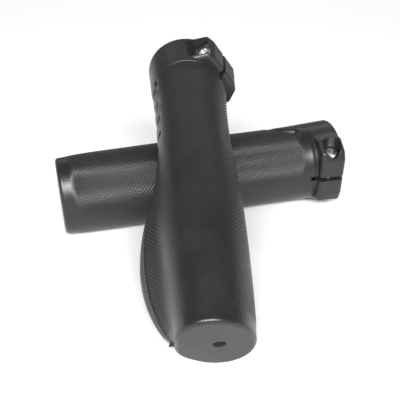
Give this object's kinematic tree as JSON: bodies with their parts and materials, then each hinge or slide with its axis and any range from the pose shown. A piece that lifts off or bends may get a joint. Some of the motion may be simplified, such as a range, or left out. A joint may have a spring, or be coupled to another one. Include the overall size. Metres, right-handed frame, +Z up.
{
  "type": "handlebar grip pair",
  "caption": "Ergonomic bicycle handlebar grips with rubber palm wings, hard core sleeves and slit screw-clamp collars, one lying crossed over the other.",
  "frame": {"origin": "on the floor, at the middle of the crossed pair's bounding box", "axes": "+Z up from the floor; the lower, right-hand grip lies mostly along X with its clamp towards +X; the upper, left-hand grip lies mostly along Y with its closed end towards -Y on the floor and its clamp up and towards +Y"},
  "size_m": [0.1326, 0.1448, 0.0808],
  "materials": {
    "grip_rubber": "matt, finely knurled",
    "core_plastic": "moulded nylon, black",
    "collar_plastic": "moulded, satin black",
    "zinc_steel": "bright zinc plated"
  },
  "bodies": {
    "lower_grip": {"right_core_sleeve": "core_plastic", "right_rubber_grip": "grip_rubber", "right_clamp_collar": "collar_plastic", "right_square_nut": "zinc_steel"},
    "upper_grip": {"left_core_sleeve": "core_plastic", "left_rubber_grip": "grip_rubber", "left_clamp_collar": "collar_plastic", "left_square_nut": "zinc_steel"},
    "right_washer": {"right_screw_washer": "zinc_steel"},
    "right_screw": {"right_clamp_screw": "zinc_steel"},
    "left_washer": {"left_screw_washer": "zinc_steel"},
    "left_screw": {"left_clamp_screw": "zinc_steel"}
  },
  "joints": [
    {"name": "upper_grip_lift", "type": "slide", "parent": "lower_grip", "child": "upper_grip", "axis": [0, 0, 1], "range_m": [0, 0.12]},
    {"name": "right_washer_slide", "type": "slide", "parent": "lower_grip", "child": "right_washer", "axis": [-0.0102, -0.003, 0.9999], "range_m": [0, 0.0013]},
    {"name": "right_screw_turn", "type": "hinge", "parent": "right_washer", "child": "right_screw", "pos_m": [0.0592, 0.04088, 0.02578], "axis": [-0.0102, -0.003, 0.9999], "range_deg": [0, 668.57]},
    {"name": "left_washer_slide", "type": "slide", "parent": "upper_grip", "child": "left_washer", "axis": [0.5215, 0.3535, -0.7766], "range_m": [0, 0.0013]},
    {"name": "left_screw_turn", "type": "hinge", "parent": "left_washer", "child": "left_screw", "pos_m": [0.00857, 0.04866, 0.06191], "axis": [0.5215, 0.3535, -0.7766], "range_deg": [0, 668.57]}
  ],
  "couplings": [
    {"joint": "right_screw_turn", "follows": "right_washer_slide", "rad_per_m": 8975.9},
    {"joint": "left_screw_turn", "follows": "left_washer_slide", "rad_per_m": 8975.9}
  ]
}
